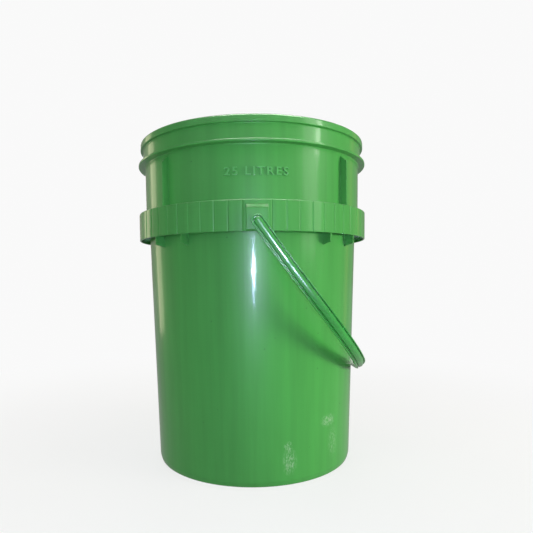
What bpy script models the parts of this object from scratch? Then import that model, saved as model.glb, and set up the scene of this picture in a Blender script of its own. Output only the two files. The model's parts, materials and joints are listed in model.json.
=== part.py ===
"""A 25 litre plastic fermenting bucket: a one-piece moulded shell and the moulded bail that swings on it.

Units are metres, +Z is up. The origin is the centre of the foot, on the floor. The front, at -Y, carries
one pivot pad and the back, at +Y, the other. The bail hangs over the +X side.
"""

import math

import bmesh
import bpy
from mathutils import Matrix, Vector

# Shell, heights above the floor
BEAD_TOP = 0.4237
BEAD_BOTTOM = 0.4151
FLANGE_TOP = 0.3957
FLANGE_BOTTOM = 0.3928
BAND_TOP = 0.3286
BAND_BOTTOM = 0.2934
FOOT_RECESS = 0.004
FLOOR_THICKNESS = 0.0028

# Shell, outer radii
BEAD_RADIUS = 0.1543
NECK_RADIUS = 0.1507
FLANGE_RADIUS = 0.1570
BAND_RADIUS_TOP = 0.1567
BAND_RADIUS_BOTTOM = 0.1562
WALL_UNDER_FLANGE = 0.1482
WALL_OVER_BAND = 0.1472
WALL_UNDER_BAND = 0.1424
WALL_AT_FOOT = 0.1313
FOOT_RADIUS = 0.1291

WALL_THICKNESS = 0.0024
SKIRT_THICKNESS = 0.0021
BAND_DECK_THICKNESS = 0.0024

# Shell, roundings, fillets and drafts
EDGE_ROUND = 0.0010
BEAD_INNER_ROUND = 0.0022
BEAD_OUTER_ROUND = 0.0018
BEAD_LOWER_ROUND = 0.0006
NECK_STEP_RISE = 0.0020
CELL_FILLET = 0.0010
CELL_DRAFT = 0.0003
FOOT_ROUND = 0.0013
FOOT_WALL_HEIGHT = 0.0060
FOOT_RIM_WIDTH = 0.0050
RECESS_SLOPE = 0.0015
FLOOR_FILLET = 0.0055
FLOOR_FILLET_MIDDLE = 0.0017
INNER_STEP_HEIGHT = 0.0140
INNER_STEP_BLEND = 0.0006

# Thin radial plates: webs inside the band, fins over it and stacking gussets under it
WEB_PITCH_DEG = 6
WEB_THICKNESS = 0.0012
WEB_BOTTOM = 0.2970
FIN_DEG = (45.0, 135.0, 225.0, 315.0)
FIN_THICKNESS = 0.0024
FIN_TOP = 0.3888
FIN_SHOULDER = 0.3816
FIN_RADIUS = 0.1566
GUSSET_FROM_PIVOT_DEG = (34.5, 52.0)
GUSSET_THICKNESS = 0.0020
GUSSET_NOSE_HEIGHT = 0.2839
GUSSET_ROOT_HEIGHT = 0.2808

# Bail pivots, on the front and the back of the band
PIVOT_HEIGHT = 0.3040
PIVOT_DEG = (270.0, 90.0)
PAD_FACE = 0.1580
PAD_HALF_WIDTH = 0.0125
PAD_TOP = 0.3190
PAD_BOTTOM = 0.2955
PAD_SLOPE = 0.0045
PIN_RADIUS = 0.0050
PIN_HEAD_RADIUS = 0.0063
PIN_HEAD_THICKNESS = 0.0022
PIN_END = 0.1508
HOLE_RADIUS = 0.0053
HOLE_INNER_END = 0.1515
HOLE_OUTER_END = 0.1620

# Bail, in its own plane: reach is measured from the pivot axis
BAIL_DROP_DEG = 52.1
BAIL_INNER_HALF_WIDTH = 0.1586
BAIL_INNER_REACH = 0.2290
BAIL_STRAIGHT_REACH = 0.0900
BAIL_CURVE_POWER = 2.10
BAIL_SAG = 0.0036
BAIL_HALF_HEIGHT = 0.0071
BAIL_GRIP_HALF_HEIGHT = 0.0052
HUB_SWEEP_DEG = 80.0

# The strap's section: depths outwards from its inner face, and heights across it from its middle
LIP_DEPTH = 0.0060
LIP_WIDTH = 0.0012
LIP_FILLET = 0.0005
STRAP_THICKNESS = 0.0026
UPPER_GROOVE_DEPTH = 0.0040
UPPER_LIP_FILLET = 0.0003
SPINE_DEPTH = 0.0064
SPINE_LOWER_ROOT = -0.0038
SPINE_LOWER_EDGE = (-0.0010, -0.0032)
SPINE_RIDGE = 0.0006
SPINE_UPPER_EDGE = (-0.0008, 0.0047)
SPINE_UPPER_ROOT = 0.0051
GRIP_SWELL = 0.0008
GRIP_HALF_LENGTH = 0.0600
GRIP_FADE = 0.0250

PIN_ROOT_DEPTH = 0.0018
PIN_HEAD_ROUND = 0.0004
PIN_TIP_TAPER = 0.0006

ROUND_SEGMENTS = 32
CURVE_STATIONS = 48
ARM_STATIONS = 6
HUB_STATIONS = 5


def clear_scene():
    for obj in list(bpy.data.objects):
        bpy.data.objects.remove(obj, do_unlink=True)


def make_material(name, color, roughness):
    material = bpy.data.materials.new(name)
    material.use_nodes = True
    shader = material.node_tree.nodes["Principled BSDF"]
    shader.inputs["Base Color"].default_value = (*color, 1.0)
    shader.inputs["Roughness"].default_value = roughness
    shader.inputs["Metallic"].default_value = 0.0
    return material


def make_object(name, bm, material=None):
    bmesh.ops.recalc_face_normals(bm, faces=bm.faces)
    mesh = bpy.data.meshes.new(name)
    bm.to_mesh(mesh)
    bm.free()
    mesh.shade_smooth()
    mesh.set_sharp_from_angle(angle=math.radians(30))
    obj = bpy.data.objects.new(name, mesh)
    bpy.context.scene.collection.objects.link(obj)
    if material:
        mesh.materials.append(material)
    return obj


def hide_helper(obj):
    obj.hide_render = True
    obj.display_type = "WIRE"


def add_boolean(obj, other, operation):
    modifier = obj.modifiers.new(operation.lower(), "BOOLEAN")
    modifier.operation = operation
    modifier.object = other
    modifier.solver = "EXACT"
    hide_helper(other)


# ---------------------------------------------------------------- shell


def wall_radius(height):
    """The outer radius of the long wall under the band."""
    share = height / BAND_BOTTOM
    return WALL_AT_FOOT + share * (WALL_UNDER_BAND - WALL_AT_FOOT)


def upper_wall_radius(height):
    """The outer radius of the wall between the band and the flange."""
    share = (height - BAND_TOP) / (FLANGE_BOTTOM - BAND_TOP)
    return WALL_OVER_BAND + share * (WALL_UNDER_FLANGE - WALL_OVER_BAND)


def shell_points():
    """Every named point of the shell's section, as (radius, height)."""
    deck_under = BAND_TOP - BAND_DECK_THICKNESS
    skirt_inner = BAND_RADIUS_BOTTOM - SKIRT_THICKNESS
    floor_top = FOOT_RECESS + FLOOR_THICKNESS
    floor_corner = wall_radius(0.0) - WALL_THICKNESS
    neck_inner = NECK_RADIUS - WALL_THICKNESS
    foot_inner = FOOT_RADIUS - FOOT_RIM_WIDTH
    fillet_top = floor_top + FLOOR_FILLET
    return {
        "bead_top_inner": (neck_inner + BEAD_INNER_ROUND, BEAD_TOP),
        "bead_top_outer": (BEAD_RADIUS - BEAD_OUTER_ROUND, BEAD_TOP),
        "bead_shoulder": (BEAD_RADIUS, BEAD_TOP - BEAD_OUTER_ROUND),
        "bead_edge": (BEAD_RADIUS, BEAD_BOTTOM + BEAD_LOWER_ROUND),
        "bead_root": (NECK_RADIUS, BEAD_BOTTOM),
        "neck_foot": (NECK_RADIUS, FLANGE_TOP),
        "flange_top": (FLANGE_RADIUS, FLANGE_TOP),
        "flange_edge": (FLANGE_RADIUS, FLANGE_BOTTOM),
        "flange_root": (WALL_UNDER_FLANGE, FLANGE_BOTTOM),
        "fin_top": (upper_wall_radius(FIN_TOP), FIN_TOP),
        "fin_shoulder": (FIN_RADIUS, FIN_SHOULDER),
        "deck_root": (WALL_OVER_BAND, BAND_TOP),
        "deck_edge": (BAND_RADIUS_TOP - EDGE_ROUND, BAND_TOP),
        "band_shoulder": (BAND_RADIUS_TOP, BAND_TOP - EDGE_ROUND),
        "pad_crest": (BAND_RADIUS_TOP, PAD_TOP + PAD_SLOPE),
        "pad_top": (PAD_FACE, PAD_TOP),
        "pad_bottom": (PAD_FACE, PAD_BOTTOM),
        "skirt_outer": (BAND_RADIUS_BOTTOM, BAND_BOTTOM),
        "skirt_inner": (skirt_inner, BAND_BOTTOM),
        "web_outer": (skirt_inner, WEB_BOTTOM),
        "cell_outer": (skirt_inner + CELL_DRAFT, deck_under),
        "cell_inner": (WALL_UNDER_BAND + CELL_FILLET, deck_under),
        "web_inner": (wall_radius(WEB_BOTTOM), WEB_BOTTOM),
        "gusset_nose": (skirt_inner, GUSSET_NOSE_HEIGHT),
        "gusset_root": (wall_radius(GUSSET_ROOT_HEIGHT), GUSSET_ROOT_HEIGHT),
        "foot_wall": (wall_radius(FOOT_WALL_HEIGHT), FOOT_WALL_HEIGHT),
        "foot_corner": (FOOT_RADIUS + FOOT_ROUND, FOOT_ROUND),
        "foot_outer": (FOOT_RADIUS, 0.0),
        "foot_inner": (foot_inner, 0.0),
        "recess_edge": (foot_inner - RECESS_SLOPE, FOOT_RECESS),
        "recess_middle": (FOOT_RADIUS / 2, FOOT_RECESS),
        "floor_middle": (FOOT_RADIUS / 2, floor_top),
        "floor_edge": (floor_corner - FLOOR_FILLET, floor_top),
        "floor_fillet": (floor_corner - FLOOR_FILLET_MIDDLE, floor_top + FLOOR_FILLET_MIDDLE),
        "wall_foot": (wall_radius(fillet_top) - WALL_THICKNESS, fillet_top),
        "wall_mid": (WALL_UNDER_BAND - WALL_THICKNESS + INNER_STEP_BLEND, BAND_TOP - INNER_STEP_HEIGHT),
        "wall_step": (WALL_OVER_BAND - WALL_THICKNESS, BAND_TOP - EDGE_ROUND),
        "wall_high": (WALL_UNDER_FLANGE - WALL_THICKNESS, FLANGE_BOTTOM),
        "neck_low": (neck_inner, FLANGE_TOP + NECK_STEP_RISE),
        "neck_high": (neck_inner, BEAD_TOP - BEAD_INNER_ROUND),
    }


# The section's points in order, going down the outside and up the inside, and how each kind of sector differs
TOP_OUTLINE = ["bead_top_inner", "bead_top_outer", "bead_shoulder", "bead_edge", "bead_root", "neck_foot",
               "flange_top", "flange_edge", "flange_root", "fin_top"]
GROOVE_OUTLINE = {"open": ["deck_root"], "fin": ["fin_shoulder"]}
BAND_OUTLINE = {
    "plain": ["band_shoulder", "pad_crest"],
    "pad": ["band_shoulder", "pad_crest", "pad_top", "pad_bottom"],
}
UNDER_OUTLINE = {
    "cell": ["web_outer", "cell_outer", "cell_inner", "web_inner"],
    "web": ["web_outer", "web_inner"],
    "gusset": ["gusset_nose"],
}
LOWER_OUTLINE = ["gusset_root", "foot_wall", "foot_corner", "foot_outer", "foot_inner", "recess_edge",
                 "recess_middle"]
INNER_OUTLINE = ["floor_middle", "floor_edge", "floor_fillet", "wall_foot", "wall_mid", "wall_step",
                 "wall_high", "neck_low", "neck_high"]


def plate_sectors():
    """(kind, centre angle, half angle) of every plate and pad, in degrees."""
    sectors = []
    for angle in range(0, 360, WEB_PITCH_DEG):
        if angle not in PIVOT_DEG:
            sectors.append(("web", angle, math.degrees(WEB_THICKNESS / 2 / WALL_OVER_BAND)))
    for angle in FIN_DEG:
        sectors.append(("fin", angle, math.degrees(FIN_THICKNESS / 2 / WALL_OVER_BAND)))
    for pivot in PIVOT_DEG:
        sectors.append(("pad", pivot, math.degrees(math.asin(PAD_HALF_WIDTH / PAD_FACE))))
        for offset in GUSSET_FROM_PIVOT_DEG:
            half = math.degrees(GUSSET_THICKNESS / 2 / WALL_UNDER_BAND)
            sectors.append(("gusset", (pivot - offset) % 360, half))
            sectors.append(("gusset", (pivot + offset) % 360, half))
    return sectors


def kinds_at(angle, sectors):
    return {kind for kind, centre, half in sectors if abs((angle - centre + 180) % 360 - 180) < half}


def outline_at(angle, sectors):
    """The names of the section's points, in order, in the sector that holds this angle."""
    kinds = kinds_at(angle, sectors)
    groove = GROOVE_OUTLINE["fin" if "fin" in kinds else "open"]
    band = BAND_OUTLINE["pad" if "pad" in kinds else "plain"]
    under = "gusset" if "gusset" in kinds else "web" if "web" in kinds else "cell"
    return [*TOP_OUTLINE, *groove, "deck_edge", *band, "skirt_outer", "skirt_inner", *UNDER_OUTLINE[under],
            *LOWER_OUTLINE, *INNER_OUTLINE]


def point_at(name, angle, points):
    radius, height = points[name]
    if name in ("pad_top", "pad_bottom"):
        pivot = min(PIVOT_DEG, key=lambda deg: abs((angle - deg + 180) % 360 - 180))
        radius = PAD_FACE / math.cos(math.radians(angle - pivot))
    turn = math.radians(angle)
    return Vector((radius * math.cos(turn), radius * math.sin(turn), height))


def side_faces(left, right):
    """The closed loops of names where two neighbouring sections differ."""
    loops = []
    shared = [name for name in left if name in right]
    for first, last in zip(shared, shared[1:]):
        a = left[left.index(first) + 1 : left.index(last)]
        b = right[right.index(first) + 1 : right.index(last)]
        if a or b:
            loops.append([first, *a, last, *reversed(b)])
    return loops


def shell_mesh():
    points = shell_points()
    sectors = plate_sectors()
    angles = sorted({round(centre + side * half, 6) % 360 for _, centre, half in sectors for side in (-1, 1)})
    outlines = []
    for index, angle in enumerate(angles):
        following = angles[(index + 1) % len(angles)] + (360 if index + 1 == len(angles) else 0)
        outlines.append(outline_at((angle + following) / 2 % 360, sectors))
    bm = bmesh.new()
    made = {}

    def vertex(index, name):
        index %= len(angles)
        if (index, name) not in made:
            made[index, name] = bm.verts.new(point_at(name, angles[index], points))
        return made[index, name]

    for index, outline in enumerate(outlines):
        closed = [*outline, outline[0]]
        for first, last in zip(closed, closed[1:]):
            if (first, last) == ("recess_middle", "floor_middle"):
                continue
            bm.faces.new([vertex(index, first), vertex(index, last), vertex(index + 1, last),
                          vertex(index + 1, first)])
        for loop in side_faces(outlines[index - 1], outline):
            bm.faces.new([vertex(index, name) for name in loop])
    for name in ("recess_middle", "floor_middle"):
        centre = bm.verts.new((0, 0, points[name][1]))
        for index in range(len(angles)):
            bm.faces.new([vertex(index, name), vertex(index + 1, name), centre])
    return bm


def cylinder_along_y(name, radius, start, end):
    bm = bmesh.new()
    place = Matrix.Translation((0, (start + end) / 2, PIVOT_HEIGHT))
    place @= Matrix.Rotation(math.radians(90), 4, "X")
    bmesh.ops.create_cone(bm, cap_ends=True, segments=ROUND_SEGMENTS, radius1=radius, radius2=radius,
                          depth=abs(end - start), matrix=place)
    return make_object(name, bm)


def build_shell(material):
    shell = make_object("bucket_shell", shell_mesh(), material)
    for side, name in ((-1, "front_hole"), (1, "back_hole")):
        cutter = cylinder_along_y(name, HOLE_RADIUS, side * HOLE_INNER_END, side * HOLE_OUTER_END)
        add_boolean(shell, cutter, "DIFFERENCE")
    return shell


# ---------------------------------------------------------------- bail


def bail_section(swell):
    """The strap's section as (depth outwards, height across the plane): two lips with a spine between."""
    top = BAIL_HALF_HEIGHT
    spine = SPINE_DEPTH + swell
    lower_drop, lower_edge = SPINE_LOWER_EDGE
    upper_drop, upper_edge = SPINE_UPPER_EDGE
    return [
        (0.0, -top),
        (LIP_DEPTH, -top),
        (LIP_DEPTH, -top + LIP_WIDTH),
        (STRAP_THICKNESS, -top + LIP_WIDTH + LIP_FILLET),
        (STRAP_THICKNESS, SPINE_LOWER_ROOT),
        (spine + lower_drop, lower_edge),
        (spine, SPINE_RIDGE),
        (spine + upper_drop, upper_edge),
        (UPPER_GROOVE_DEPTH, SPINE_UPPER_ROOT),
        (UPPER_GROOVE_DEPTH, top - LIP_WIDTH - UPPER_LIP_FILLET),
        (LIP_DEPTH, top - LIP_WIDTH),
        (LIP_DEPTH, top),
        (0.0, top),
    ]


def bail_stations():
    """(reach, y, outward normal in the plane, height scale) along the inner face, front to back."""
    half = []
    for index in range(HUB_STATIONS, 0, -1):
        turn = math.radians(HUB_SWEEP_DEG) * index / HUB_STATIONS
        half.append((-BAIL_HALF_HEIGHT * math.sin(turn), -BAIL_INNER_HALF_WIDTH, math.cos(turn)))
    for index in range(ARM_STATIONS):
        half.append((BAIL_STRAIGHT_REACH * index / ARM_STATIONS, -BAIL_INNER_HALF_WIDTH, 1.0))
    bow = BAIL_INNER_REACH - BAIL_STRAIGHT_REACH
    power = 2.0 / BAIL_CURVE_POWER
    for index in range(CURVE_STATIONS // 2):
        turn = math.pi / 2 * index / (CURVE_STATIONS // 2)
        reach = BAIL_STRAIGHT_REACH + bow * math.sin(turn) ** power
        half.append((reach, -BAIL_INNER_HALF_WIDTH * math.cos(turn) ** power, 1.0))
    middle = [(BAIL_INNER_REACH, 0.0, 1.0)]
    path = half + middle + [(reach, -y, scale) for reach, y, scale in reversed(half)]
    stations = []
    for index, (reach, y, scale) in enumerate(path):
        before = path[max(index - 1, 0)]
        after = path[min(index + 1, len(path) - 1)]
        along = Vector((after[0] - before[0], after[1] - before[1])).normalized()
        stations.append((reach, y, Vector((along.y, -along.x)), scale))
    return stations


def grip_share(y):
    """1 over the grip in the middle of the bail, fading to 0 at its ends."""
    share = (GRIP_HALF_LENGTH + GRIP_FADE - abs(y)) / GRIP_FADE
    share = min(max(share, 0.0), 1.0)
    return share * share * (3 - 2 * share)


def sag_at(reach):
    """How far the strap lies under the straight plane from the pivot axis to the grip."""
    return BAIL_SAG * math.sin(math.pi * min(max(reach / BAIL_INNER_REACH, 0.0), 1.0))


def strap_mesh():
    bm = bmesh.new()
    rings = []
    for reach, y, outward, scale in bail_stations():
        grip = grip_share(y)
        scale *= 1 + grip * (BAIL_GRIP_HALF_HEIGHT / BAIL_HALF_HEIGHT - 1)
        ring = [
            (reach + outward.x * depth, y + outward.y * depth, across * scale - sag_at(reach))
            for depth, across in bail_section(GRIP_SWELL * grip)
        ]
        rings.append([bm.verts.new(place) for place in ring])
    count = len(rings[0])
    for ring, following in zip(rings, rings[1:]):
        for index in range(count):
            near = (index + 1) % count
            bm.faces.new([ring[index], ring[near], following[near], following[index]])
    bm.faces.new(rings[0])
    bm.faces.new(rings[-1])
    return bm


def pin_object(name, side):
    """A stub pin with a snap head, turned about Y, from inside the arm to inside the band."""
    pin_root = BAIL_INNER_HALF_WIDTH + PIN_ROOT_DEPTH
    head_outer = PIN_END + PIN_HEAD_THICKNESS
    profile = [(0.0, pin_root), (PIN_RADIUS, pin_root), (PIN_RADIUS, head_outer),
               (PIN_HEAD_RADIUS, head_outer - PIN_HEAD_ROUND), (PIN_RADIUS - PIN_TIP_TAPER, PIN_END),
               (0.0, PIN_END)]
    bm = bmesh.new()
    verts = [bm.verts.new((radius, side * y, 0.0)) for radius, y in profile]
    edges = [bm.edges.new(pair) for pair in zip(verts, verts[1:])]
    bmesh.ops.spin(bm, geom=[*verts, *edges], cent=(0, 0, 0), axis=(0, 1, 0), angle=math.tau,
                   steps=ROUND_SEGMENTS, use_merge=True)
    bmesh.ops.remove_doubles(bm, verts=bm.verts, dist=1e-6)
    return make_object(name, bm)


def build_bail(material):
    """The bail's origin is on its pivot axis; its own X reaches towards the grip."""
    bail = make_object("bail_handle", strap_mesh(), material)
    bail.location = (0, 0, PIVOT_HEIGHT)
    bail.rotation_euler = (0, math.radians(BAIL_DROP_DEG), 0)
    for side, name in ((-1, "front_pin"), (1, "back_pin")):
        pin = pin_object(name, side)
        pin.parent = bail
        add_boolean(bail, pin, "UNION")
    return bail


def main():
    clear_scene()
    shell_green = make_material("shell_green", (0.075, 0.36, 0.09), 0.30)
    bail_green = make_material("bail_green", (0.06, 0.33, 0.12), 0.22)
    build_shell(shell_green)
    build_bail(bail_green)


main()
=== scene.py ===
"""The looks of the 25 litre plastic fermenting bucket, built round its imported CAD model.

Two pieces stand for the two CAD mouldings: shell_skin on the bucket and bail_skin on the bail. A raised
capacity mark sits on the upper wall. Lengths in the tables below are millimetres; objects are in metres.
"""

import json
import math
import random

import bmesh
import bpy
import numpy as np
from mathutils import Matrix, Vector


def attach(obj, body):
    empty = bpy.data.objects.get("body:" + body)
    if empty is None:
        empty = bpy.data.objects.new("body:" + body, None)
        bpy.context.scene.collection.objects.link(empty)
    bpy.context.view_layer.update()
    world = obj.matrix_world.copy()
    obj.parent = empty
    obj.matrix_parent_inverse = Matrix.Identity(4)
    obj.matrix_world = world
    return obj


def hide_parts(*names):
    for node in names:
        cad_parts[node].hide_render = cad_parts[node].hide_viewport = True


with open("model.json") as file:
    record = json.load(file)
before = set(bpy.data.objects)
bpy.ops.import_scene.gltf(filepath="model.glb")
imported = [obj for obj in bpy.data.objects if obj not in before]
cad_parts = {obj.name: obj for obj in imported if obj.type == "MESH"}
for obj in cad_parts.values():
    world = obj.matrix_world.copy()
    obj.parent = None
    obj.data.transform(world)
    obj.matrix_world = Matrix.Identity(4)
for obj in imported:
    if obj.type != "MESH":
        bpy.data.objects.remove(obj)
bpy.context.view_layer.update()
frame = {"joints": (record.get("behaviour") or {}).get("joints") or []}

MM = 0.001
SEED = 7
SHARP_DEG = 38.0
WELD_DISTANCE = 1e-6
PIVOT_HEIGHT = frame["joints"][0]["pos_m"][2] / MM
SHELL_STEPS = 3
BAIL_STEPS = 4

# ---------------------------------------------------------------- shell measurements

# Corners of the shell's section, going round it: name, radius, height, length of the rounding each way
SHELL_CORNERS = [
    ("rim_inner", 148.3, 423.7, 2.2),
    ("rim_outer", 154.3, 423.7, 2.4),
    ("rim_under", 154.3, 415.1, 0.9),
    ("neck_top", 150.7, 415.1, 0.9),
    ("neck_foot", 150.7, 395.7, 1.3),
    ("flange_top", 157.0, 395.7, 0.9),
    ("flange_under", 157.0, 392.8, 0.9),
    ("flange_root", 148.2, 392.8, 1.3),
    ("fin_top", 148.14, 388.8, 0.8),
    ("fin_shoulder", 148.03, 381.6, 1.2),
    ("deck_root", 147.2, 328.6, 1.3),
    ("deck_edge", 156.7, 328.6, 1.1),
    ("pad_crest", 156.66, 323.5, 1.2),
    ("pad_top", 156.62, 319.0, 1.2),
    ("pad_bottom", 156.25, 295.5, 0.6),
    ("skirt_outer", 156.2, 293.4, 0.7),
    ("skirt_inner", 154.1, 293.4, 0.7),
    ("web_outer", 154.1, 297.0, 0.4),
    ("cell_outer", 154.4, 326.2, 1.2),
    ("cell_inner", 143.4, 326.2, 1.2),
    ("web_inner", 142.53, 297.0, 0.4),
    ("gusset_root", 141.95, 280.8, 0.8),
    ("foot_wall", 131.53, 6.0, 1.5),
    ("foot_outer", 129.8, 0.0, 1.3),
    ("foot_inner", 124.1, 0.0, 1.0),
    ("recess_edge", 122.6, 4.0, 1.0),
    ("recess_middle", 70.0, 4.0, 1.0),
    ("gate_edge", 7.0, 4.0, 1.0),
    ("gate_face", 5.0, 3.0, 0.6),
    ("floor_middle", 60.0, 6.8, 1.0),
    ("floor_edge", 128.8, 6.8, 5.0),
    ("wall_mid", 140.6, 314.6, 5.0),
    ("wall_step", 144.8, 327.6, 5.0),
    ("wall_high", 145.8, 392.8, 2.0),
    ("neck_low", 148.3, 397.7, 2.0),
]
CORNER_NAMES = [corner[0] for corner in SHELL_CORNERS]

# Where a thin plate moves those corners to, over its own thickness
FIN_CORNERS = {"fin_shoulder": (156.6, 381.6), "deck_root": (156.2, 332.0)}
WEB_CORNERS = {"cell_outer": (151.0, 297.0), "cell_inner": (145.5, 297.0)}
GUSSET_CORNERS = {
    "web_outer": (153.9, 283.9),
    "cell_outer": (151.0, 283.1),
    "cell_inner": (147.0, 282.1),
    "web_inner": (144.0, 281.3),
}
PAD_CORNERS = ("pad_top", "pad_bottom")
PAD_FACE = 158.0
PAD_HALF_WIDTH = 12.5

PAD_RISE = 1.6
PAD_REACH_DEG = 20

PIVOT_DEG = (270.0, 90.0)
WEB_PITCH_DEG = 6
WEB_DEG = [angle for angle in range(0, 360, WEB_PITCH_DEG) if angle not in PIVOT_DEG]
FIN_DEG = (45.0, 135.0, 225.0, 315.0)
GUSSET_OFFSETS_DEG = (-34.5, 34.5, -52.0, 52.0)
GUSSET_DEG = [pivot + offset for pivot in PIVOT_DEG for offset in GUSSET_OFFSETS_DEG]

PLATE_RADIUS = 150.0
SIDE_DRAFT = 0.02
ROUNDING_STATION = 0.3
PLATE_SLACK = 1e-4
SHORTEST_MOVE = 1e-6
# Half thickness, rounding of its outer edges, fillet at its root
FIN_PLATE = (1.2, 0.5, 0.5)
WEB_PLATE = (0.6, 0.0, 0.0)
GUSSET_PLATE = (1.0, 0.4, 0.4)
PAD_PLATE = (PAD_HALF_WIDTH * PLATE_RADIUS / PAD_FACE, 0.7, 0.5)

BAND_CORNERS = ("deck_edge", "pad_crest", "pad_top", "pad_bottom", "skirt_outer")
SINK_DEPTH = 0.80
SINK_WIDTH = 0.75
SINK_EDGE = 1.7 * SINK_WIDTH
SINK_VARIATION = (0.6, 1.2)
PANEL_FLATNESS = 0.16
PANEL_VARIATION = (0.3, 1.6)
WIDEST_STEP_DEG = 1.8
NARROWEST_STEP_DEG = 0.004
HOLE_RADIUS = 5.3
HOLE_SPAN = (151.5, 162.0)
HOLE_SEGMENTS = 48

# ---------------------------------------------------------------- bail measurements

BAIL_DROP_DEG = 52.1
BAIL_INNER_HALF_WIDTH = 158.6
BAIL_INNER_REACH = 229.0
BAIL_STRAIGHT_REACH = 90.0
BAIL_CURVE_POWER = 2.10
BAIL_SAG = 3.6
BAIL_HALF_HEIGHT = 7.1
BAIL_GRIP_HALF_HEIGHT = 5.2
SPINE_ROOT_REACH = 59.0
SPINE_ROOT_FADE = 2.0
SPINE_ROOT_RISE = 0.4
GRIP_SWELL = 0.8
GRIP_HALF_LENGTH = 60.0
GRIP_FADE = 25.0
ARM_STATIONS = 24
CURVE_STATIONS = 84
HUB_TURNS = 18
PIN_RADIUS = 5.0
PIN_HEAD_RADIUS = 6.3
PIN_ROOT = BAIL_INNER_HALF_WIDTH + 1.8
PIN_END = 150.8
PIN_SEGMENTS = 48

# Half section of a stub pin and its snap head, from its root in the arm: radius, distance from the middle
PIN_PROFILE = [
    (0.0, PIN_ROOT),
    (PIN_RADIUS, PIN_ROOT),
    (PIN_RADIUS, PIN_END + 2.4),
    (PIN_HEAD_RADIUS, PIN_END + 1.9),
    (PIN_HEAD_RADIUS, PIN_END + 1.5),
    (PIN_RADIUS - 0.2, PIN_END + 0.2),
    (PIN_RADIUS - 1.0, PIN_END),
    (1.6, PIN_END),
    (1.4, PIN_END + 1.2),
    (0.0, PIN_END + 1.2),
]

# Corners of the strap's section, from its lower inner edge round the outside: depth outwards, height across
# the strap, rounding, and how much of the spine's extra height the corner takes
BAIL_CORNERS = [
    (0.0, -7.1, 0.4, 0.0),
    (6.0, -7.1, 0.5, 0.0),
    (6.0, -5.9, 0.4, 0.0),
    (2.6, -5.4, 0.6, 0.0),
    (2.6, -3.9, 0.6, 0.0),
    (4.9, -3.3, 0.7, 1.0),
    (5.75, -0.4, 0.5, 1.0),
    (5.88, 0.6, 0.2, 1.0),
    (6.0, 1.6, 0.5, 1.0),
    (5.2, 4.7, 0.5, 1.0),
    (4.0, 5.1, 0.3, 0.0),
    (4.0, 5.6, 0.25, 0.0),
    (6.0, 5.9, 0.35, 0.0),
    (6.0, 7.1, 0.5, 0.0),
    (0.0, 7.1, 0.4, 0.0),
]
# The corner on the spine's ridge, which divides the lower half of the section from the upper one
RIDGE_CORNER = 7


# ---------------------------------------------------------------- mesh helpers


def rounded_rows(corners, reaches, steps):
    """Closed rows of section points, with every corner rounded by this many faces."""
    before = np.roll(corners, 1, axis=1) - corners
    after = np.roll(corners, -1, axis=1) - corners
    before /= np.linalg.norm(before, axis=2, keepdims=True)
    after /= np.linalg.norm(after, axis=2, keepdims=True)
    reach = np.asarray(reaches)[None, :, None]
    start = corners + before * reach
    end = corners + after * reach
    points = []
    for share in np.linspace(0, 1, steps + 1):
        points.append((1 - share) ** 2 * start + 2 * share * (1 - share) * corners + share**2 * end)
    rows, count, _ = corners.shape
    return np.stack(points, axis=2).reshape(rows, count * (steps + 1), 2)


def shade(mesh):
    mesh.shade_smooth()
    mesh.set_sharp_from_angle(angle=math.radians(SHARP_DEG))


def finish_mesh(name, bm, material):
    """An object made from this bmesh, with its normals outwards and its edges shaded."""
    bmesh.ops.recalc_face_normals(bm, faces=bm.faces)
    mesh = bpy.data.meshes.new(name)
    bm.to_mesh(mesh)
    bm.free()
    shade(mesh)
    mesh.materials.append(material)
    obj = bpy.data.objects.new(name, mesh)
    bpy.context.scene.collection.objects.link(obj)
    return obj


def apply_boolean(obj, other, operation):
    """Cuts or joins the other mesh for good, and removes it."""
    modifier = obj.modifiers.new(operation.lower(), "BOOLEAN")
    modifier.operation = operation
    modifier.object = other
    modifier.solver = "EXACT"
    graph = bpy.context.evaluated_depsgraph_get()
    mesh = bpy.data.meshes.new_from_object(obj.evaluated_get(graph))
    obj.modifiers.clear()
    obj.data = mesh
    shade(mesh)
    bpy.data.objects.remove(other, do_unlink=True)


def weight_normals(obj):
    modifier = obj.modifiers.new("weighted_normals", "WEIGHTED_NORMAL")
    modifier.keep_sharp = True
    modifier.weight = 100


# ---------------------------------------------------------------- shell


def turned_by(angles, centre):
    """How many degrees each station is from the centre, from -180 to 180."""
    return (angles - centre + 180) % 360 - 180


def plate_angles(centre, plate):
    """The stations that a plate's edges, sides and root fillets need."""
    half, edge, root = plate
    rounding = [half - edge, half - ROUNDING_STATION * edge]
    fillet = [half + ROUNDING_STATION * root, half + root]
    offsets = [0.0, *rounding, half, half + SIDE_DRAFT, *fillet]
    turns = np.degrees(np.array(offsets) / PLATE_RADIUS)
    return np.concatenate([centre - turns, centre + turns])


def shell_angles():
    """The stations round the shell, in degrees: close together at the plates, and nowhere far apart."""
    marks = [plate_angles(centre, FIN_PLATE) for centre in FIN_DEG]
    marks += [plate_angles(centre, WEB_PLATE) for centre in WEB_DEG]
    marks += [plate_angles(centre, GUSSET_PLATE) for centre in GUSSET_DEG]
    marks += [plate_angles(centre, PAD_PLATE) for centre in PIVOT_DEG]
    sink = math.degrees(SINK_EDGE / PLATE_RADIUS)
    marks += [np.array([centre - sink, centre + sink]) for centre in WEB_DEG]
    angles = np.unique(np.round(np.concatenate(marks) % 360, 4))
    kept = [angles[0]]
    for angle in [*angles[1:], angles[0] + 360]:
        gap = angle - kept[-1]
        if gap < NARROWEST_STEP_DEG:
            continue
        steps = math.ceil(gap / WIDEST_STEP_DEG)
        kept += [kept[-1] + gap * step / steps for step in range(1, steps + 1)]
    return np.array(kept[:-1])


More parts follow.
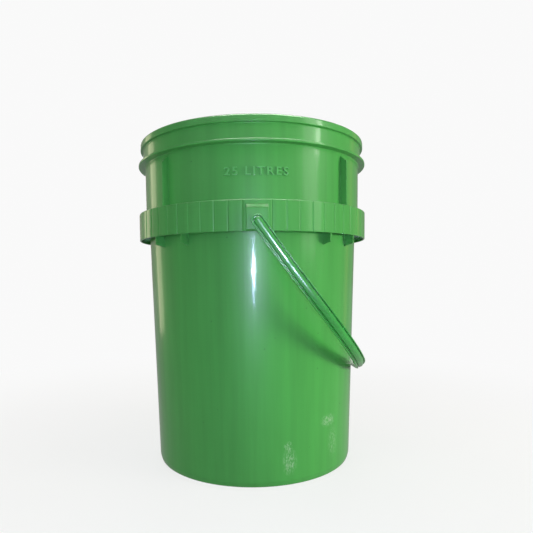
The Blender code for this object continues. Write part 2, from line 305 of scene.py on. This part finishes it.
def plate_share(angles, centre, plate, lengths):
    """From 0 to 1, how far each corner has moved out to the plate, for each station."""
    half, edge, root = plate
    away = np.abs(np.radians(turned_by(angles, centre))) * PLATE_RADIUS
    past_edge = np.clip(away - (half - edge), 0, edge)
    drop = edge - np.sqrt(np.maximum(edge**2 - past_edge**2, 0))
    past_side = np.clip(root - (away - half), 0, root)
    rise = root - np.sqrt(np.maximum(root**2 - past_side**2, 0))
    height = np.where(away[:, None] <= half + PLATE_SLACK, lengths[None] - drop[:, None], rise[:, None])
    share = np.clip(height / np.maximum(lengths[None], SHORTEST_MOVE), 0, 1)
    return np.where(lengths[None] > 0, share, 0)


def plate_targets(base, moved):
    """The section's corners where a plate stands, in the middle of its thickness."""
    targets = base.copy()
    for name, place in moved.items():
        targets[CORNER_NAMES.index(name)] = place
    return targets


def band_relief(angles, rng):
    """How far the band's face lies inside its circle: flattened panels, with a sink line at each web."""
    relief = np.zeros(len(angles))
    half_pitch = WEB_PITCH_DEG // 2
    for middle in range(half_pitch, 360, WEB_PITCH_DEG):
        turn = turned_by(angles, middle) / half_pitch
        flatness = PANEL_FLATNESS * rng.uniform(*PANEL_VARIATION)
        relief += np.where(np.abs(turn) < 1, flatness * (1 - turn**2), 0)
    for centre in WEB_DEG:
        away = np.radians(turned_by(angles, centre)) * PLATE_RADIUS
        relief += SINK_DEPTH * rng.uniform(*SINK_VARIATION) * np.exp(-((away / SINK_WIDTH) ** 2))
    return relief


def shell_rows():
    """(angles, rows of rounded section points), one row a station."""
    rng = random.Random(SEED)
    angles = shell_angles()
    base = np.array([corner[1:3] for corner in SHELL_CORNERS])
    corners = np.repeat(base[None], len(angles), axis=0)
    plates = [
        (FIN_DEG, FIN_PLATE, FIN_CORNERS),
        (WEB_DEG, WEB_PLATE, WEB_CORNERS),
        (GUSSET_DEG, GUSSET_PLATE, GUSSET_CORNERS),
    ]
    for centres, plate, moved in plates:
        move = plate_targets(base, moved) - base
        lengths = np.linalg.norm(move, axis=1)
        for centre in centres:
            corners += plate_share(angles, centre, plate, lengths)[:, :, None] * move[None]
    relief = band_relief(angles, rng)
    for name in BAND_CORNERS:
        corners[:, CORNER_NAMES.index(name), 0] -= relief
    for pivot in PIVOT_DEG:
        turn = np.clip(turned_by(angles, pivot), -PAD_REACH_DEG, PAD_REACH_DEG)
        face = PAD_FACE / np.cos(np.radians(turn))
        for name in PAD_CORNERS:
            index = CORNER_NAMES.index(name)
            share = plate_share(angles, pivot, PAD_PLATE, np.array([PAD_RISE]))[:, 0]
            corners[:, index, 0] += share * (face - corners[:, index, 0])
    return angles, rounded_rows(corners, [corner[3] for corner in SHELL_CORNERS], SHELL_STEPS)


def shell_bmesh():
    """The rows joined round the axis, with a disc in the middle of the floor's two faces."""
    angles, rows = shell_rows()
    bm = bmesh.new()
    cos, sin = np.cos(np.radians(angles)), np.sin(np.radians(angles))
    verts = [
        [bm.verts.new((radius * MM * c, radius * MM * s, height * MM)) for radius, height in row]
        for row, c, s in zip(rows, cos, sin)
    ]
    count = rows.shape[1]
    under_end = (CORNER_NAMES.index("gate_face") + 1) * (SHELL_STEPS + 1) - 1
    for near, far in zip(verts, verts[1:] + verts[:1]):
        for index in range(count):
            if index != under_end:
                following = (index + 1) % count
                bm.faces.new([near[index], near[following], far[following], far[index]])
    for index in (under_end, under_end + 1):
        centre = bm.verts.new((0, 0, rows[0, index, 1] * MM))
        for near, far in zip(verts, verts[1:] + verts[:1]):
            bm.faces.new([near[index], far[index], centre])
    return bm


def hole_cutter(side, material):
    """A cylinder along Y that cuts the pivot hole through one pad."""
    start, end = HOLE_SPAN
    bm = bmesh.new()
    place = Matrix.Translation(Vector((0, side * (start + end) / 2, PIVOT_HEIGHT)) * MM)
    place @= Matrix.Rotation(math.radians(90), 4, "X")
    radius = HOLE_RADIUS * MM
    bmesh.ops.create_cone(bm, cap_ends=True, segments=HOLE_SEGMENTS, radius1=radius, radius2=radius,
                          depth=(end - start) * MM, matrix=place)
    return finish_mesh("hole", bm, material)


def build_shell(material):
    shell = finish_mesh("shell_skin", shell_bmesh(), material)
    for side in (-1, 1):
        apply_boolean(shell, hole_cutter(side, material), "DIFFERENCE")
    weight_normals(shell)
    return shell


# ---------------------------------------------------------------- bail


def smooth_share(value):
    """0 up to 0, 1 from 1, and a smooth rise between."""
    value = np.clip(value, 0, 1)
    return value * value * (3 - 2 * value)


def bail_path():
    """(reach, y) of the strap's inner face, from the front pivot to the back one."""
    arm = [BAIL_STRAIGHT_REACH * step / ARM_STATIONS for step in range(ARM_STATIONS)]
    half = [(reach, -BAIL_INNER_HALF_WIDTH) for reach in arm]
    bow = BAIL_INNER_REACH - BAIL_STRAIGHT_REACH
    power = 2.0 / BAIL_CURVE_POWER
    for step in range(CURVE_STATIONS // 2):
        turn = math.pi / 2 * step / (CURVE_STATIONS // 2)
        reach = BAIL_STRAIGHT_REACH + bow * math.sin(turn) ** power
        half.append((reach, -BAIL_INNER_HALF_WIDTH * math.cos(turn) ** power))
    return np.array([*half, (BAIL_INNER_REACH, 0.0), *[(reach, -y) for reach, y in reversed(half)]])


def grip_share(y):
    """1 over the grip in the middle of the bail, fading to 0 at its ends."""
    return smooth_share((GRIP_HALF_LENGTH + GRIP_FADE - np.abs(y)) / GRIP_FADE)


def spine_rise(reach, y):
    """The spine's extra height: a little at the roots of the arms, and most over the grip."""
    past_root = SPINE_ROOT_REACH + SPINE_ROOT_FADE / 2 - reach
    root = SPINE_ROOT_RISE * smooth_share(past_root / SPINE_ROOT_FADE)
    return root + GRIP_SWELL * grip_share(y)


def sag_at(reach):
    """How far the strap lies under the straight plane from the pivot axis to the grip."""
    return BAIL_SAG * math.sin(math.pi * reach / BAIL_INNER_REACH)


def bail_sections(path):
    """The strap's rounded section at each station: a higher spine and a narrower strap over the grip."""
    rises = spine_rise(path[:, 0], path[:, 1])
    base = np.array([corner[:2] for corner in BAIL_CORNERS])
    takes = np.array([corner[3] for corner in BAIL_CORNERS])
    corners = np.repeat(base[None], len(rises), axis=0)
    corners[:, :, 0] += rises[:, None] * takes[None]
    narrowing = BAIL_GRIP_HALF_HEIGHT / BAIL_HALF_HEIGHT - 1
    corners[:, :, 1] *= 1 + grip_share(path[:, 1])[:, None] * narrowing
    return rounded_rows(corners, [corner[2] for corner in BAIL_CORNERS], BAIL_STEPS)


def bail_bmesh():
    """The strap in its own plane: X is the reach from the pivot axis, Z is across the strap."""
    path = bail_path()
    along = np.gradient(path, axis=0)
    along /= np.linalg.norm(along, axis=1, keepdims=True)
    outward = np.stack([along[:, 1], -along[:, 0]], axis=1)
    sections = bail_sections(path)
    bm = bmesh.new()
    rings = []
    for (reach, y), (out_x, out_y), section in zip(path, outward, sections):
        sag = sag_at(reach)
        ring = [(reach + out_x * depth, y + out_y * depth, across - sag) for depth, across in section]
        rings.append([bm.verts.new(Vector(point) * MM) for point in ring])
    count = len(rings[0])
    for ring, following in zip(rings, rings[1:]):
        for index in range(count):
            near = (index + 1) % count
            bm.faces.new([ring[index], ring[near], following[near], following[index]])
    add_hub(bm, rings[0], sections[0], -1)
    add_hub(bm, rings[-1], sections[-1], 1)
    return bm


def add_hub(bm, ring, section, side):
    """The round end of an arm: the strap's section turned half round about the pivot axis."""
    middle = RIDGE_CORNER * (BAIL_STEPS + 1) + BAIL_STEPS // 2
    lower = section[:middle]
    upper = section[middle + 1:][::-1]
    rows = [ring[:middle]]
    for step in range(1, HUB_TURNS):
        turn = math.pi * step / HUB_TURNS
        share = smooth_share(step / HUB_TURNS)
        row = []
        for (low_depth, low_across), (high_depth, high_across) in zip(lower, upper):
            depth = low_depth + share * (high_depth - low_depth)
            radius = abs(low_across) + share * (abs(high_across) - abs(low_across))
            y = side * (BAIL_INNER_HALF_WIDTH + depth)
            place = Vector((-radius * math.sin(turn), y, -radius * math.cos(turn)))
            row.append(bm.verts.new(place * MM))
        rows.append(row)
    rows.append(ring[middle + 1:][::-1])
    for near, far in zip(rows, rows[1:]):
        for index in range(len(lower) - 1):
            bm.faces.new([near[index], near[index + 1], far[index + 1], far[index]])
        bm.faces.new([near[-1], far[-1], ring[middle]])
    bm.faces.new([row[0] for row in rows])


def pin_object(side, material):
    """A stub pin with a snap head, turned about Y, from inside the arm to inside the band."""
    bm = bmesh.new()
    verts = [bm.verts.new(Vector((radius, side * y, 0.0)) * MM) for radius, y in PIN_PROFILE]
    edges = [bm.edges.new(pair) for pair in zip(verts, verts[1:])]
    bmesh.ops.spin(bm, geom=[*verts, *edges], cent=(0, 0, 0), axis=(0, 1, 0), angle=math.tau,
                   steps=PIN_SEGMENTS, use_merge=True)
    bmesh.ops.remove_doubles(bm, verts=bm.verts, dist=WELD_DISTANCE)
    return finish_mesh("pin", bm, material)


def build_bail(material):
    bail = finish_mesh("bail_skin", bail_bmesh(), material)
    for side in (-1, 1):
        apply_boolean(bail, pin_object(side, material), "UNION")
    bail.location = (0, 0, PIVOT_HEIGHT * MM)
    bail.rotation_euler = (0, math.radians(BAIL_DROP_DEG), 0)
    weight_normals(bail)
    return bail


# ---------------------------------------------------------------- raised mark

MARK_TEXT = "25 LITRES"
MARK_WIDTH = 73.0
MARK_HEIGHT = 9.6
MARK_MIDDLE = 361.5
MARK_RISE = 1.5
MARK_SINK = 0.6
# Shape of the letters, in the text's own units
LETTER_SPACING = 1.25
LETTER_DEPTH = 0.01
LETTER_BOLDNESS = 0.012
LETTER_CURVE_STEPS = 4
LETTER_WELD = 1e-5


def letters_bmesh():
    """The capacity as flat letters with a little depth."""
    curve = bpy.data.curves.new("capacity_text", "FONT")
    curve.body = MARK_TEXT
    curve.align_x = "CENTER"
    curve.space_character = LETTER_SPACING
    curve.extrude = LETTER_DEPTH
    curve.offset = LETTER_BOLDNESS
    curve.resolution_u = LETTER_CURVE_STEPS
    text = bpy.data.objects.new("capacity_text", curve)
    bpy.context.scene.collection.objects.link(text)
    graph = bpy.context.evaluated_depsgraph_get()
    mesh = bpy.data.meshes.new_from_object(text.evaluated_get(graph))
    bpy.data.objects.remove(text, do_unlink=True)
    bm = bmesh.new()
    bm.from_mesh(mesh)
    bpy.data.meshes.remove(mesh)
    bmesh.ops.remove_doubles(bm, verts=bm.verts, dist=LETTER_WELD)
    return bm


def build_mark(material):
    """The capacity in raised letters, wrapped round the front of the upper wall."""
    bm = letters_bmesh()
    low = Vector(map(min, *[vert.co for vert in bm.verts]))
    high = Vector(map(max, *[vert.co for vert in bm.verts]))
    wall_low = SHELL_CORNERS[CORNER_NAMES.index("deck_root")]
    wall_high = SHELL_CORNERS[CORNER_NAMES.index("flange_root")]
    for vert in bm.verts:
        across = ((vert.co.x - low.x) / (high.x - low.x) - 0.5) * MARK_WIDTH
        height = MARK_MIDDLE + ((vert.co.y - low.y) / (high.y - low.y) - 0.5) * MARK_HEIGHT
        share = (height - wall_low[2]) / (wall_high[2] - wall_low[2])
        wall = wall_low[1] + share * (wall_high[1] - wall_low[1])
        radius = wall + (MARK_RISE if vert.co.z > 0 else -MARK_SINK)
        turn = across / wall
        vert.co = Vector((radius * math.sin(turn), -radius * math.cos(turn), height)) * MM
    return finish_mesh("capacity_mark", bm, material)


# ---------------------------------------------------------------- materials


class Nodes:
    """A short way to write a material's nodes."""

    def __init__(self, material):
        material.use_nodes = True
        self.tree = material.node_tree
        self.shader = self.tree.nodes["Principled BSDF"]

    def put(self, kind, inputs=None, **settings):
        node = self.tree.nodes.new(kind)
        for name, value in settings.items():
            setattr(node, name, value)
        for name, value in (inputs or {}).items():
            self.feed(node.inputs[name], value)
        return node

    def feed(self, socket, value):
        if isinstance(value, bpy.types.NodeSocket):
            self.tree.links.new(value, socket)
        else:
            socket.default_value = value

    def math(self, operation, first, second=0.0, clamp=False):
        node = self.put("ShaderNodeMath", {0: first, 1: second}, operation=operation, use_clamp=clamp)
        return node.outputs[0]

    def vector(self, operation, first, second=(0.0, 0.0, 0.0)):
        return self.put("ShaderNodeVectorMath", {0: first, 1: second}, operation=operation)

    def range(self, value, from_low, from_high, to_low, to_high, **settings):
        inputs = {"Value": value, "From Min": from_low, "From Max": from_high, "To Min": to_low,
                  "To Max": to_high}
        return self.put("ShaderNodeMapRange", inputs, **settings).outputs["Result"]

    def noise(self, place, stretch, detail=2.0, roughness=0.5):
        mapping = self.put("ShaderNodeMapping", {"Vector": place, "Scale": stretch})
        node = self.put("ShaderNodeTexNoise", {"Vector": mapping.outputs[0], "Scale": 1.0, "Detail": detail,
                                               "Roughness": roughness})
        return node.outputs["Fac"]

    def blend(self, share, first, second):
        node = self.put("ShaderNodeMix", {0: share, 6: first, 7: second}, data_type="RGBA")
        return node.outputs[2]


MOTTLE_STRETCH = (9, 9, 5)
MOTTLE_DARK = 0.93
MOTTLE_LIGHT = 1.06
MOTTLE_ROUGHNESS = (-0.005, 0.01)
FLOW_LIGHT = 2.2
FLOW_SHARE = 0.14
STREAK_ROUGHNESS = (-0.02, 0.07)
STREAK_DEPTH = 0.0006
GRAIN_STRETCH = (900, 900, 900)
GRAIN_BUMP = 0.02
GRAIN_DEPTH = 0.0002
SPECK_DENSITY = 95.0
SPECK_CHOICE = 0.80
SPECK_SIZE = 0.085
SPECK_SHARE = 0.35
SPECK_COLOR = (0.02, 0.07, 0.03, 1.0)
SCUFF_STRETCH = (700, 700, 260)
SCUFF_CORE = 0.2
SCUFF_COLOR = (0.52, 0.68, 0.52, 1.0)
SCUFF_ROUGHNESS = 0.3
PLASTIC_IOR = 1.49
COAT_WEIGHT = 0.8
COAT_ROUGHNESS = 0.38
COAT_IOR = 1.45

# Rubbed spots low on the wall: centre and size in metres, strength
SHELL_SCUFFS = [
    ((0.0340, -0.1290, 0.046), (0.006, 0.02, 0.007), 0.9),
    ((0.0360, -0.1280, 0.028), (0.010, 0.02, 0.018), 0.75),
    ((0.0860, -0.1010, 0.068), (0.013, 0.02, 0.009), 0.8),
    ((0.0930, -0.0960, 0.040), (0.009, 0.02, 0.022), 0.4),
]

# Base colour, stretch of the mould lines, their bump, stretch of the flow marks, roughness, gloss, scuffs
SHELL_PLASTIC = ((0.056, 0.300, 0.058), (3, 3, 420), 0.12, (75, 75, 2.0), 0.055, 0.15, SHELL_SCUFFS)
BAIL_PLASTIC = ((0.036, 0.305, 0.050), (15, 15, 15), 0.03, (20, 20, 20), 0.18, 0.50, [])
# The mark's base colour is lighter than the shell's. This is a painted highlight for the light caught by the
# raised letters, which are moulded in the same green as the wall
MARK_PLASTIC_PAINTED_HIGHLIGHT = ((0.085, 0.37, 0.095), (6, 6, 320), 0.25, (75, 75, 2.0), 0.12, 0.09, [])


def tinted(base, factor):
    """The base colour made lighter or darker, as RGBA."""
    return (*[min(part * factor, 1.0) for part in base], 1.0)


def green_plastic(name, base, streak_stretch, streak_bump, flow_stretch, roughness, gloss, scuffs):
    """Injection-moulded polypropylene: mould lines, faint mottling, specks, and rubbed spots."""
    material = bpy.data.materials.new(name)
    nodes = Nodes(material)
    shader = nodes.shader
    place = nodes.put("ShaderNodeTexCoord").outputs["Object"]

    mottle = nodes.noise(place, MOTTLE_STRETCH, detail=3.0)
    mottle_share = nodes.range(mottle, 0.35, 0.65, 0.0, 1.0)
    color = nodes.blend(mottle_share, tinted(base, MOTTLE_DARK), tinted(base, MOTTLE_LIGHT))
    flow = nodes.noise(place, flow_stretch, detail=3.0, roughness=0.6)
    flow_share = nodes.range(flow, 0.30, 0.70, 0.0, FLOW_SHARE)
    color = nodes.blend(flow_share, color, tinted(base, FLOW_LIGHT))

    streaks = nodes.noise(place, streak_stretch, detail=4.0, roughness=0.65)
    grain = nodes.noise(place, GRAIN_STRETCH, detail=1.0)
    smoothest, roughest = [roughness + change for change in STREAK_ROUGHNESS]
    shader_roughness = nodes.math("ADD", nodes.range(streaks, 0.3, 0.7, smoothest, roughest),
                                  nodes.range(mottle, 0.3, 0.7, *MOTTLE_ROUGHNESS))

    specks = nodes.put("ShaderNodeTexVoronoi", {"Vector": place, "Scale": SPECK_DENSITY, "Randomness": 1.0})
    chosen = nodes.math("GREATER_THAN", specks.outputs["Color"], SPECK_CHOICE)
    near = nodes.math("LESS_THAN", specks.outputs["Distance"], SPECK_SIZE)
    speck = nodes.math("MULTIPLY", chosen, near)
    color = nodes.blend(nodes.math("MULTIPLY", speck, SPECK_SHARE), color, SPECK_COLOR)

    for centre, size, strength in scuffs:
        offset = nodes.vector("SUBTRACT", place, centre).outputs[0]
        scaled = nodes.vector("MULTIPLY", offset, tuple(1 / part for part in size)).outputs[0]
        distance = nodes.vector("LENGTH", scaled).outputs["Value"]
        inside = nodes.range(distance, 1.0, SCUFF_CORE, 0.0, 1.0)
        scratches = nodes.noise(place, SCUFF_STRETCH, detail=5.0, roughness=0.75)
        torn = nodes.range(scratches, 0.46, 0.66, 0.0, 1.0)
        share = nodes.math("MULTIPLY", nodes.math("MULTIPLY", inside, torn), strength, clamp=True)
        color = nodes.blend(share, color, SCUFF_COLOR)
        rubbed = nodes.math("MULTIPLY", share, SCUFF_ROUGHNESS)
        shader_roughness = nodes.math("ADD", shader_roughness, rubbed)

    streak_inputs = {"Strength": streak_bump, "Distance": STREAK_DEPTH, "Height": streaks}
    bump_streaks = nodes.put("ShaderNodeBump", streak_inputs)
    grain_inputs = {"Strength": GRAIN_BUMP, "Distance": GRAIN_DEPTH, "Height": grain}
    bump_grain = nodes.put("ShaderNodeBump", {**grain_inputs, "Normal": bump_streaks.outputs[0]})
    nodes.feed(shader.inputs["Base Color"], color)
    nodes.feed(shader.inputs["Roughness"], shader_roughness)
    nodes.feed(shader.inputs["Normal"], bump_grain.outputs[0])
    shader.inputs["IOR"].default_value = PLASTIC_IOR
    shader.inputs["Specular IOR Level"].default_value = gloss
    shader.inputs["Coat Weight"].default_value = COAT_WEIGHT
    shader.inputs["Coat Roughness"].default_value = COAT_ROUGHNESS
    shader.inputs["Coat IOR"].default_value = COAT_IOR
    return material


# ---------------------------------------------------------------- stage, camera, lights

CAMERA_DISTANCE = 0.670
CAMERA_HEIGHT = 0.2392
CAMERA_TURN_DEG = 2.14
CAMERA_ROLL_DEG = -0.62
CAMERA_LENS = 31.64
CAMERA_SHIFT = (0.0257, 0.0259)
SENSOR_WIDTH = 36.0

BACKDROP_GLOW = 0.95
FLOOR_RADIUS = 9.0
FLOOR_SEGMENTS = 96
FLOOR_TONES = (0.86, 0.90)
FLOOR_ROUGHNESS = 0.7
FLOOR_BOUNCE = 0.3
# Where the floor starts and ends turning into the backdrop, in metres, and its share of glow at each
FLOOR_FADE = (0.15, 0.9)
FLOOR_GLOW_SHARES = (0.78, 1.0)
ROOM_COLOR = (1.0, 0.99, 0.94, 1.0)
ROOM_STRENGTH = 0.24
WHITE = (1.0, 1.0, 1.0, 1.0)

DAYLIGHT = (1.0, 0.98, 0.92)
ROOM_LIGHT = (1.0, 0.99, 0.95)
MIDDLE = 0.21

# Name, azimuth in degrees (0 is the front, 90 is +X), distance, height, size, power, colour, height that it
# is aimed at, and whether it lights by diffuse light, by gloss or by both
LIGHTS = [
    ("window", 70, 1.5, 0.30, (0.5, 0.22), 15.5, (1.0, 0.97, 0.76), MIDDLE, "diffuse"),
    ("high_window", 56, 1.5, 0.74, (0.42, 1.05), 4.4, DAYLIGHT, MIDDLE, "both"),
    ("window_gap", 64, 1.5, 0.92, (0.16, 0.40), 3.0, DAYLIGHT, MIDDLE, "gloss"),
    ("front_fill", 20, 1.6, 0.35, (1.0, 0.6), 0.5, (1.0, 0.97, 0.92), MIDDLE, "both"),
    ("left_fill", -55, 1.7, 0.8, (0.8, 1.2), 4.6, (0.84, 0.98, 0.86), MIDDLE, "diffuse"),
    ("right_card", 118, 1.3, 0.35, (0.20, 1.1), 0.25, (1.0, 0.75, 0.20), MIDDLE, "both"),
    ("left_card", -122, 1.3, 0.35, (0.30, 1.1), 2.2, (1.0, 0.91, 0.62), MIDDLE, "both"),
    ("camera_fill", -1.3, 0.69, 0.258, (0.10, 0.10), 1.35, (0.62, 0.78, 1.0), MIDDLE, "diffuse"),
    ("camera_strip", -1.3, 0.69, 0.222, (0.003, 0.166), 0.75, (0.50, 0.62, 1.0), 0.222, "gloss"),
    ("camera_light", -1.3, 0.69, 0.223, (0.014, 0.014), 1.9, (0.66, 0.78, 1.0), 0.25, "gloss"),
    ("back_fill", 180, 1.8, 0.9, (1.4, 1.2), 9.0, ROOM_LIGHT, MIDDLE, "both"),
    ("back_left_fill", -125, 1.8, 0.9, (1.0, 1.2), 4.0, ROOM_LIGHT, MIDDLE, "diffuse"),
    ("ceiling", 180, 0.05, 1.9, (1.2, 1.2), 6.0, ROOM_LIGHT, MIDDLE, "both"),
    ("edge_sheen", 10, 0.5, 1.3, (1.2, 0.5), 45.0, ROOM_LIGHT, MIDDLE, "gloss"),
]


def build_camera():
    """A level camera a little below the band, rolled slightly, with its frame shifted up and to one side."""
    data = bpy.data.cameras.new("camera")
    data.lens = CAMERA_LENS
    data.sensor_width = SENSOR_WIDTH
    data.shift_x, data.shift_y = CAMERA_SHIFT
    camera = bpy.data.objects.new("camera", data)
    turn = math.radians(CAMERA_TURN_DEG)
    place = Vector((-CAMERA_DISTANCE * math.sin(turn), -CAMERA_DISTANCE * math.cos(turn), CAMERA_HEIGHT))
    camera.matrix_world = (
        Matrix.Translation(place)
        @ Matrix.Rotation(-turn, 4, "Z")
        @ Matrix.Rotation(math.radians(90), 4, "X")
        @ Matrix.Rotation(math.radians(CAMERA_ROLL_DEG), 4, "Z")
    )
    bpy.context.scene.collection.objects.link(camera)
    bpy.context.scene.camera = camera


def area_light(name, azimuth_deg, distance, height, size, power, color, aim_height, seen_by):
    """A soft rectangular light, aimed at the axis."""
    data = bpy.data.lights.new(name, "AREA")
    data.shape = "RECTANGLE"
    data.size, data.size_y = size
    data.energy = power
    data.color = color
    light = bpy.data.objects.new(name, data)
    turn = math.radians(azimuth_deg)
    place = Vector((distance * math.sin(turn), -distance * math.cos(turn), height))
    light.location = place
    light.rotation_euler = (Vector((0, 0, aim_height)) - place).to_track_quat("-Z", "Y").to_euler()
    light.visible_glossy = seen_by != "diffuse"
    light.visible_diffuse = seen_by != "gloss"
    bpy.context.scene.collection.objects.link(light)


def build_stage():
    """A pale floor that turns into the bright backdrop further out."""
    bm = bmesh.new()
    bmesh.ops.create_circle(bm, cap_ends=True, segments=FLOOR_SEGMENTS, radius=FLOOR_RADIUS)
    material = bpy.data.materials.new("studio_floor")
    nodes = Nodes(material)
    place = nodes.put("ShaderNodeTexCoord").outputs["Object"]
    tone = nodes.range(nodes.noise(place, (3, 3, 3), detail=3.0), 0.3, 0.7, *FLOOR_TONES)
    color = nodes.put("ShaderNodeCombineColor", {"Red": tone, "Green": tone, "Blue": tone}).outputs[0]
    nodes.feed(nodes.shader.inputs["Base Color"], color)
    nodes.shader.inputs["Roughness"].default_value = FLOOR_ROUGHNESS
    reach = nodes.vector("LENGTH", place).outputs["Value"]
    seen = nodes.put("ShaderNodeLightPath").outputs["Is Camera Ray"]
    strength = nodes.range(seen, 0.0, 1.0, FLOOR_BOUNCE, BACKDROP_GLOW)
    glow = nodes.put("ShaderNodeEmission", {"Color": WHITE, "Strength": strength})
    far = nodes.range(reach, *FLOOR_FADE, *FLOOR_GLOW_SHARES, interpolation_type="SMOOTHSTEP")
    mix = nodes.put("ShaderNodeMixShader", {0: far, 1: nodes.shader.outputs[0], 2: glow.outputs[0]})
    nodes.feed(nodes.tree.nodes["Material Output"].inputs["Surface"], mix.outputs[0])
    floor = finish_mesh("studio_floor", bm, material)


def build_world():
    """Dim warm light from all round, with the bright backdrop where the camera looks at it."""
    world = bpy.data.worlds.new("studio")
    bpy.context.scene.world = world
    world.use_nodes = True
    tree = world.node_tree
    background = tree.nodes["Background"]
    background.inputs["Color"].default_value = ROOM_COLOR
    background.inputs["Strength"].default_value = ROOM_STRENGTH
    seen = tree.nodes.new("ShaderNodeBackground")
    seen.inputs["Color"].default_value = WHITE
    seen.inputs["Strength"].default_value = BACKDROP_GLOW
    path = tree.nodes.new("ShaderNodeLightPath")
    mix = tree.nodes.new("ShaderNodeMixShader")
    tree.links.new(path.outputs["Is Camera Ray"], mix.inputs[0])
    tree.links.new(background.outputs[0], mix.inputs[1])
    tree.links.new(seen.outputs[0], mix.inputs[2])
    tree.links.new(mix.outputs[0], tree.nodes["World Output"].inputs["Surface"])


def main():
    shell = build_shell(green_plastic("shell_plastic", *SHELL_PLASTIC))
    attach(shell, "bucket")
    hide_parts("bucket_shell")
    bail = build_bail(green_plastic("bail_plastic", *BAIL_PLASTIC))
    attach(bail, "bail")
    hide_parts("bail_handle")
    # The mark's lighter colour is a painted highlight on the raised letters
    mark = build_mark(green_plastic("mark_plastic_painted_highlight", *MARK_PLASTIC_PAINTED_HIGHLIGHT))
    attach(mark, "bucket")
    build_stage()
    build_world()
    for light in LIGHTS:
        area_light(*light)
    build_camera()
    bpy.context.scene.view_settings.view_transform = "Standard"


main()
